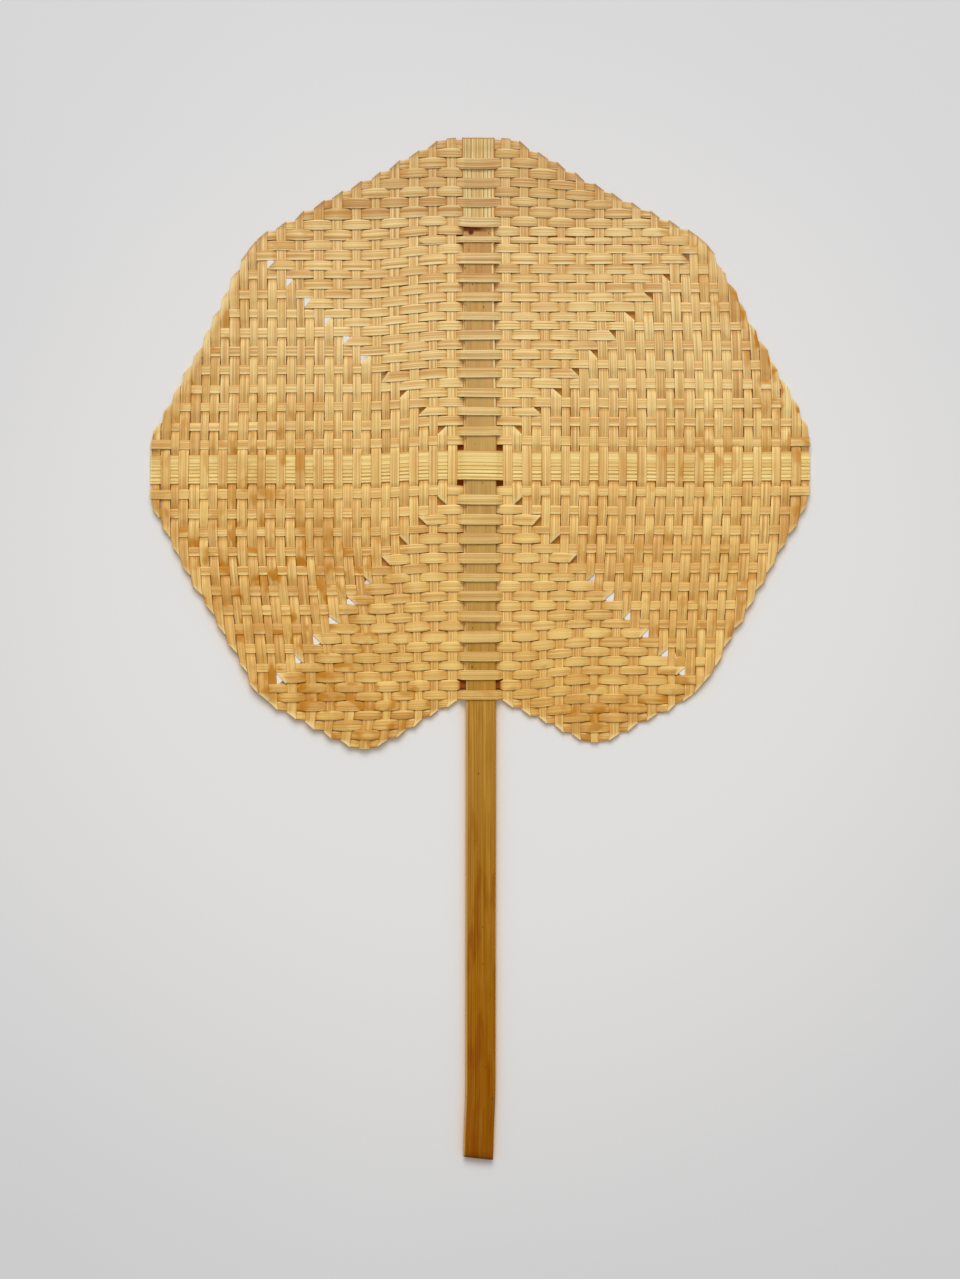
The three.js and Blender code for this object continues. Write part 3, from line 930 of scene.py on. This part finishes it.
# Colours of the strips, as levels out of 255. Tones are (share, colour).
STRIP_TONES = [(0.0, (242, 212, 142)), (0.35, (232, 194, 122)), (0.7, (222, 178, 110)), (1.0, (206, 158, 92))]
STRIP_EDGE = (250, 228, 166)
WIDE_TONES = [(0.0, (248, 224, 150)), (0.5, (236, 203, 126)), (1.0, (220, 182, 104))]
WIDE_EDGE = (250, 230, 164)
LINE_BROWN = (178, 122, 54)
FIBRE_BROWN = (168, 112, 42)
SIDE_SHADE = (200, 136, 56)
GROOVE_SHADE = (166, 118, 52)
WORN_BROWN = (194, 136, 54)
STAIN_BROWN = (192, 126, 22)
CREASE_SHADE = (150, 112, 66)
SPECK_BROWN = (120, 72, 30)
BEHIND_SHADE = (0.9, 0.75, 0.5, 1)  # painted shade: what the colour is times where a strip passes behind another
# Colours of the stick.
STICK_TONES = [
    (0.0, (146, 84, 2)), (0.17, (158, 98, 4)), (0.33, (172, 120, 34)), (0.47, (191, 141, 56)),
    (0.52, (182, 134, 52)), (0.6, (194, 152, 80)), (0.72, (200, 162, 94)), (0.88, (201, 159, 96)),
    (1.0, (198, 150, 90)),
]
HELD_DARK = (136, 66, 0)
HELD_PALE = (170, 124, 44)
STREAK_DARK = (108, 60, 0)
GRAIN_DARK = (104, 58, 0)
GRAIN_PALE = (222, 170, 84)
LEFT_EDGE = (216, 174, 108)
RIGHT_LIT_EDGE = (246, 220, 160)
STICK_SPECK = (84, 48, 12)
CUT_BROWN = (92, 50, 10)
KNOT_BROWN = (70, 32, 8)
TIP_SHADOW = (96, 34, 14)

NOISE_ROUGHNESS = 0.55


def srgb(levels):
    """A colour from its levels out of 255, as a linear one."""
    linear = []
    for level in levels:
        value = level / 255
        linear.append(value / 12.92 if value <= 0.04045 else ((value + 0.055) / 1.055) ** 2.4)
    return (*linear, 1)


class Shader:
    """A material made of nodes, with one principled shader. colour is what has been painted so far."""

    def __init__(self, name):
        self.material = bpy.data.materials.new(name)
        self.material.use_nodes = True
        self.tree = self.material.node_tree
        self.surface = self.tree.nodes["Principled BSDF"]
        self.colour = None

    def add(self, kind, inputs=(), **settings):
        node = self.tree.nodes.new(kind)
        for label, value in settings.items():
            setattr(node, label, value)
        for socket, value in dict(inputs).items():
            self.give(node.inputs[socket], value)
        return node

    def give(self, socket, value):
        if isinstance(value, bpy.types.NodeSocket):
            self.tree.links.new(value, socket)
        else:
            socket.default_value = value

    def attribute(self, name, output="Fac"):
        return self.add("ShaderNodeAttribute", attribute_name=name).outputs[output]

    def math(self, operation, *values):
        node = self.add("ShaderNodeMath", enumerate(values), operation=operation)
        return node.outputs[0]

    def times(self, product, *values):
        for value in values:
            product = self.math("MULTIPLY", product, value)
        return product

    def noise(self, vector, scale, detail):
        """scale is one number, or one for each axis."""
        if isinstance(scale, tuple):
            vector = self.add("ShaderNodeVectorMath", {0: vector, 1: scale}, operation="MULTIPLY").outputs[0]
            scale = 1.0
        inputs = {"Vector": vector, "Scale": scale, "Detail": detail, "Roughness": NOISE_ROUGHNESS}
        return self.add("ShaderNodeTexNoise", inputs).outputs["Fac"]

    def remap(self, value, start, full, most=1.0, least=0.0):
        node = self.add("ShaderNodeMapRange", {0: value, 1: start, 2: full, 3: least, 4: most},
                        interpolation_type="SMOOTHSTEP")
        return node.outputs[0]

    def ramp(self, value, stops):
        node = self.add("ShaderNodeValToRGB", {0: value})
        elements = node.color_ramp.elements
        while len(elements) < len(stops):
            elements.new(0.5)
        for element, (position, colour) in zip(elements, stops):
            element.position = position
            element.color = colour
        return node.outputs[0]

    def tones(self, value, stops):
        return self.ramp(value, [(at, srgb(levels)) for at, levels in stops])

    def mix(self, share, a, b, blend="MIX"):
        node = self.add("ShaderNodeMix", {0: share, 6: a, 7: b}, data_type="RGBA", blend_type=blend)
        return node.outputs[2]

    def paint(self, share, levels, strength=1.0):
        """Lays a colour over what has been painted, which shows through if strength is below 1."""
        over = srgb(levels)
        if strength < 1:
            over = self.mix(strength, self.colour, over)
        self.colour = self.mix(share, self.colour, over)

    def tint(self, share, factor):
        self.colour = self.mix(share, self.colour, self.mix(1.0, self.colour, factor, "MULTIPLY"))

    def bump(self, height, strength, distance):
        node = self.add("ShaderNodeBump", {"Height": height, "Strength": strength, "Distance": distance})
        self.give(self.surface.inputs["Normal"], node.outputs["Normal"])

    def finish(self, roughness, specular):
        inputs = {"Base Color": self.colour, "Roughness": roughness, "Specular IOR Level": specular}
        for label, value in inputs.items():
            self.give(self.surface.inputs[label], value)
        return self.material


def bamboo_strip(name, tones, pale, stains, wearing, dulled):
    """Split bamboo: fine lengthwise lines, a drifting tone, pale edges, and brown stains where it is worn."""
    s = Shader(name)
    grain = s.attribute("grain", "Vector")
    across = s.add("ShaderNodeSeparateXYZ", {0: grain}).outputs[1]
    fibre = s.noise(grain, (0.03, 3.2, 7.3), 4)
    stripe = s.noise(grain, (0.008, 1.25, 3.7), 2)
    drift = s.noise(grain, (0.045, 0.0, 5.1), 2)
    line = s.noise(grain, (0.004, 1.7, 9.1), 1)
    tone = s.math("MULTIPLY_ADD", s.attribute("tone"), 0.46, 0.2)
    tone = s.math("ADD", tone, s.math("MULTIPLY_ADD", drift, 1.3, -0.65))
    tone = s.math("ADD", tone, s.math("MULTIPLY_ADD", stripe, 2.2, -1.1))
    s.colour = s.tones(tone, tones)
    s.paint(s.remap(line, 0.55, 0.64, 0.6), pale)
    s.paint(s.remap(line, 0.45, 0.36, 0.45), LINE_BROWN)
    s.paint(s.remap(fibre, 0.45, 0.72, 0.6), FIBRE_BROWN, 0.75)
    edge = s.remap(s.math("ABSOLUTE", across), HALF * 0.74, HALF * 0.88, 0.8)
    s.paint(s.times(edge, s.remap(stripe, 0.6, 0.4)), pale)
    # A pale lower edge, and a painted highlight on the upper edge of the rounder rows.
    s.paint(s.remap(s.attribute("lip_and_highlight"), 0.62, 0.78, 0.7), pale)
    # Painted shade along the strip's edges, in the crevices between strips.
    s.paint(s.remap(s.attribute("side"), 0.9, 0.975, 0.94), SIDE_SHADE)
    # Painted shade where the strip passes behind another.
    behind = s.attribute("recess_shade")
    s.tint(s.remap(behind, 0.15, 0.6, 0.85), BEHIND_SHADE)
    # Painted shade in the grooves of the wide strips.
    s.paint(s.times(s.attribute("groove"), 0.75), GROOVE_SHADE)

    spot = s.add("ShaderNodeTexCoord").outputs["Object"]
    to_right, height_up, _ = s.add("ShaderNodeSeparateXYZ", {0: spot}).outputs
    in_lane = s.remap(s.math("ABSOLUTE", to_right), LANE_FAR, LANE_NEAR, dulled)
    s.tint(in_lane, LANE_TINT)
    tint_start = TINT_REACH * MM - WEAVE_ORIGIN.y
    place_up = s.math("MULTIPLY_ADD", height_up, 1 / TINT_SPAN, tint_start / TINT_SPAN)
    s.colour = s.mix(1.0, s.colour, s.ramp(place_up, TINTS), "MULTIPLY")

    wear = s.attribute("wear")
    cloud = s.noise(spot, 60, 3)
    blotch = s.noise(grain, (0.07, 0.13, 2.9), 2)
    worn = s.times(wear, s.remap(cloud, 0.4, 0.66, 0.56))
    stained = s.math("MULTIPLY_ADD", wear, wearing, stains)
    stained = s.times(stained, s.remap(blotch, 0.53, 0.65, 0.85))
    s.paint(worn, WORN_BROWN)
    s.paint(stained, STAIN_BROWN)
    # Painted highlights on the folds, and painted shade on the folds near the top.
    crease = s.attribute("crease")
    s.paint(s.times(crease, 0.42), pale)
    s.paint(s.times(crease, -0.9), CREASE_SHADE)
    # The slots beside the stick are painted dark as shade.
    s.paint(s.remap(behind, 1.3, 3.5, 0.9), SLOT_SHADE_LEVELS)
    speck = s.remap(s.noise(spot, 1300, 1), 0.74, 0.8, 0.5)
    s.paint(speck, SPECK_BROWN)
    roughness = s.remap(fibre, 0.3, 0.7, 0.62, 0.45)
    height = s.math("ADD", fibre, s.times(stripe, 2.0))
    s.bump(height, strength=0.6, distance=0.00012)
    return s.finish(roughness, specular=0.25)


def bamboo_stick(name):
    """The stick's colour runs from dark at the butt to tan in the weave and brown at the tip."""
    s = Shader(name)
    grain = s.attribute("grain", "Vector")
    along, across, _ = s.add("ShaderNodeSeparateXYZ", {0: grain}).outputs
    fibre = s.noise(grain, (0.012, 1.9, 1.0), 5)
    band = s.noise(grain, (0.008, 0.45, 1.0), 2)
    cloud = s.noise(grain, (0.05, 0.12, 1.0), 3)
    place_along = s.math("ADD", along, s.math("MULTIPLY_ADD", cloud, 40.0, -20.0))
    s.colour = s.tones(s.math("DIVIDE", place_along, STICK_LENGTH), STICK_TONES)
    grip = s.remap(along, GRIP_LENGTH + 8, GRIP_LENGTH - 8, 1.0, 0.5)
    mottle = s.noise(grain, (0.028, 0.2, 1.0), 2)
    held = s.remap(along, GRIP_LENGTH - 10, GRIP_LENGTH - 110, 1.0, 0.25)
    s.paint(s.times(held, s.remap(mottle, 0.5, 0.64, 0.85)), HELD_DARK, 0.75)
    s.paint(s.times(held, s.remap(mottle, 0.46, 0.34, 0.6)), HELD_PALE, 0.6)
    s.paint(s.times(grip, s.remap(band, 0.4, 0.6, 0.5)), STREAK_DARK, 0.4)
    s.paint(s.times(grip, s.remap(fibre, 0.48, 0.66, 0.7)), GRAIN_DARK, 0.5)
    s.paint(s.remap(fibre, 0.47, 0.34, 0.3), GRAIN_PALE, 0.5)
    edge = s.remap(across, -STICK_WIDTH / 2 * 0.84, -STICK_WIDTH / 2 * 0.94, 0.6)
    s.paint(edge, LEFT_EDGE)
    # A pale line painted on the stick's right edge in the weave stands in for the lit edge of the spine, in
    # shade there.
    upper = s.remap(along, STICK_LENGTH * 0.76, STICK_LENGTH * 0.82)
    edge = s.remap(across, STICK_WIDTH / 2 * 0.85, STICK_WIDTH / 2 * 0.9, 0.85)
    s.paint(s.times(edge, upper), RIGHT_LIT_EDGE)
    speckled = s.remap(along, STICK_LENGTH * 0.84, STICK_LENGTH * 0.92, 0.08)
    specks = s.math("ADD", s.noise(grain, (0.3, 0.6, 1.0), 1), speckled)
    s.paint(s.remap(specks, 0.74, 0.79, 0.75), STICK_SPECK)
    s.paint(s.remap(along, 1.3, 0.4, 0.6), CUT_BROWN)
    knot = s.add("ShaderNodeVectorMath", {0: grain, 1: STICK_KNOT}, operation="DISTANCE")
    s.paint(s.remap(knot.outputs["Value"], 1.7, 0.7, 0.92), KNOT_BROWN)
    # A painted shadow under the row that covers the stick's tip, darker on its left.
    at_tip = s.remap(along, STICK_LENGTH - 5.8, STICK_LENGTH - 4.3, 0.95)
    s.paint(s.times(at_tip, s.remap(across, 5.0, -1.0, 1.0, 0.4)), TIP_SHADOW)
    roughness = s.remap(fibre, 0.3, 0.7, 0.75, 0.6)
    height = s.math("ADD", fibre, band)
    s.bump(height, strength=0.5, distance=0.0001)
    return s.finish(roughness, specular=0.04)


def plain_floor(name):
    """A pale floor with painted shade, brown under the blade, and a painted white glow through the outer
    corner holes.
    """
    s = Shader(name)
    spot = s.add("ShaderNodeTexCoord").outputs["Object"]
    cloud = s.noise(spot, 3, 2)
    darker = [level - FLOOR_CLOUDS for level in FLOOR_LEVELS]
    s.colour = srgb(FLOOR_LEVELS)
    s.paint(s.remap(cloud, 0.3, 0.7), darker)
    # A painted pool of light, paler towards the middle.
    from_middle = s.add("ShaderNodeVectorMath", {0: spot}, operation="LENGTH").outputs["Value"]
    s.paint(s.remap(from_middle, MIDDLE_FAR, MIDDLE_NEAR), MIDDLE_LIGHT_LEVELS)
    right, up, _ = s.add("ShaderNodeSeparateXYZ", {0: spot}).outputs
    up = s.math("SUBTRACT", up, WEAVE_ORIGIN.y)
    aside = s.math("ABSOLUTE", right)
    away = s.math("ABSOLUTE", up)
    flank = s.math("MULTIPLY_ADD", away, RIM_SLOPE, aside)
    top = s.math("MULTIPLY_ADD", aside, RIM_SLOPE, away)
    from_tip = s.math("ABSOLUTE", s.math("SUBTRACT", aside, column_x(odd_line(MIDDLE_UPRIGHT)) * MM))
    lobe = s.math("MULTIPLY_ADD", from_tip, RIM_SLOPE, away)
    # Painted shade: brown under the blade, within its rim and lobes, and wherever the blade lies close over
    # the floor.
    low = s.math("MAXIMUM", s.remap(lobe, *SHADE_LOBE), s.remap(up, *SHADE_FOOT))
    shade = s.times(s.remap(flank, *SHADE_RIM), s.remap(top, *SHADE_RIM), low)
    hollow = s.add("ShaderNodeAmbientOcclusion", {"Distance": HOLLOW_REACH}, samples=8).outputs["AO"]
    shade = s.math("MAXIMUM", shade, s.remap(hollow, 0.5, 0.25))
    # A painted warm shadow around the lower half of the blade.
    near = s.add("ShaderNodeAmbientOcclusion", {"Distance": WARM_SHADE_REACH}, samples=8).outputs["AO"]
    warm = s.times(s.remap(near, 0.98, 0.5, 0.75), s.remap(up, *WARM_SHADE_BELOW))
    s.paint(warm, WARM_SHADE_LEVELS)
    s.paint(shade, SHADE_LEVELS)
    # Painted shade in the slots beside the stick.
    s.paint(s.times(shade, s.remap(aside, *SLOT_ASIDE)), SLOT_SHADE_LEVELS)
    below = s.add("ShaderNodeNewGeometry").outputs["Backfacing"]
    s.paint(below, FLOOR_LEVELS)
    s.finish(roughness=0.9, specular=0.1)

    # Painted light: on three diagonals the floor glows white to camera and glossy rays through the outer
    # corner holes.
    on_left = s.math("LESS_THAN", right, 0.0)
    skew = s.times(s.math("SIGN", up), on_left, HOLE_SKEW)
    from_diagonal = s.math("ABSOLUTE", s.math("SUBTRACT", s.math("SUBTRACT", aside, away), skew))
    corner = s.times(s.remap(aside, *HOLES_FROM), s.remap(aside, *HOLES_TO))
    not_upper_right = s.math("MAXIMUM", on_left, s.math("LESS_THAN", up, 0.0))
    path = s.add("ShaderNodeLightPath").outputs
    seen = s.math("MAXIMUM", path["Is Camera Ray"], path["Is Glossy Ray"])
    facing = s.math("SUBTRACT", 1.0, below)
    bright = s.times(corner, s.remap(from_diagonal, *HOLE_HALF), not_upper_right, seen, facing)
    glow = s.add("ShaderNodeEmission", {"Color": srgb(HOLE_GLOW_LEVELS)})
    both = s.add("ShaderNodeMixShader", {0: bright, 1: s.surface.outputs[0], 2: glow.outputs[0]})
    s.give(s.tree.nodes["Material Output"].inputs["Surface"], both.outputs[0])
    return s.material


# The fan
def build_fan():
    strip = bamboo_strip("split_bamboo", STRIP_TONES, STRIP_EDGE, stains=0.12, wearing=1.0, dulled=1.0)
    wide = bamboo_strip("wide_bamboo", WIDE_TONES, WIDE_EDGE, stains=0.02, wearing=0.3, dulled=0.0)
    stick = bamboo_stick("stick_bamboo")
    add_piece("handle_stick", stick_mesh("handle_slat"), stick)
    wide_strips = [("spine_strip", spine_path(), SPINE_GROOVES), ("cross_band", band_path(), BAND_GROOVES)]
    for seed, (node, path, grooves) in enumerate(wide_strips):
        section = grooved_section(grooves, path.half * 2)
        add_piece(node, strip_mesh(node + "_woven", path, section, seed), wide)
    chance = random.Random(FAN_SEED)
    for number in range(1, RINGS + 1):
        paths = {
            "ring_strip": ring_path(number),
            "upright_left": upright_path(number, -1),
            "upright_right": upright_path(number, 1),
            "weft_upper": weft_path(number, 1),
            "weft_lower": weft_path(number, -1),
        }
        for family, path in paths.items():
            node = f"{family}_{number:02d}"
            mesh = strip_mesh(node + "_woven", path, STRIP_SECTION, chance.randrange(*STRIP_SEEDS))
            add_piece(node, mesh, strip)


# Floor, light and camera
def add_lamp(name, location, size, power):
    """A round lamp that points at the origin."""
    lamp = bpy.data.lights.new(name, "AREA")
    lamp.shape = "DISK"
    lamp.size = size
    lamp.energy = power
    stand = bpy.data.objects.new(name, lamp)
    bpy.context.scene.collection.objects.link(stand)
    stand.location = location
    stand.rotation_euler = (-location).to_track_quat("-Z", "Y").to_euler()


def build_studio():
    bpy.ops.mesh.primitive_plane_add(size=FLOOR_SIZE, location=(0, 0, -FLOOR_GAP))
    floor = bpy.context.object
    floor.name = "floor"
    floor.data.materials.append(plain_floor("pale_floor"))
    scene = bpy.context.scene
    scene.view_settings.view_transform = "Standard"
    world = bpy.data.worlds.new("soft_room")
    world.use_nodes = True
    tree = world.node_tree
    light = tree.nodes["Background"]
    light.inputs["Color"].default_value = (1, 1, 1, 1)
    light.inputs["Strength"].default_value = ROOM_LIGHT
    backdrop = tree.nodes.new("ShaderNodeBackground")
    backdrop.inputs["Color"].default_value = srgb(ROOM_LEVELS)
    seen = tree.nodes.new("ShaderNodeLightPath").outputs["Is Camera Ray"]
    both = tree.nodes.new("ShaderNodeMixShader")
    for n, output in enumerate((seen, light.outputs[0], backdrop.outputs[0])):
        tree.links.new(output, both.inputs[n])
    tree.links.new(both.outputs[0], tree.nodes["World Output"].inputs["Surface"])
    scene.world = world
    add_lamp("window", WINDOW_PLACE, WINDOW_SIZE, WINDOW_POWER)
    add_lamp("ceiling", CEILING_PLACE, CEILING_SIZE, CEILING_POWER)
    lens = bpy.data.cameras.new("camera")
    lens.sensor_width = SENSOR
    lens.lens = SENSOR * CAMERA_HEIGHT / PICTURE_HEIGHT
    camera = bpy.data.objects.new("camera", lens)
    scene.collection.objects.link(camera)
    camera.location = (0, PICTURE_MIDDLE, CAMERA_HEIGHT)
    scene.camera = camera


build_studio()
build_fan()
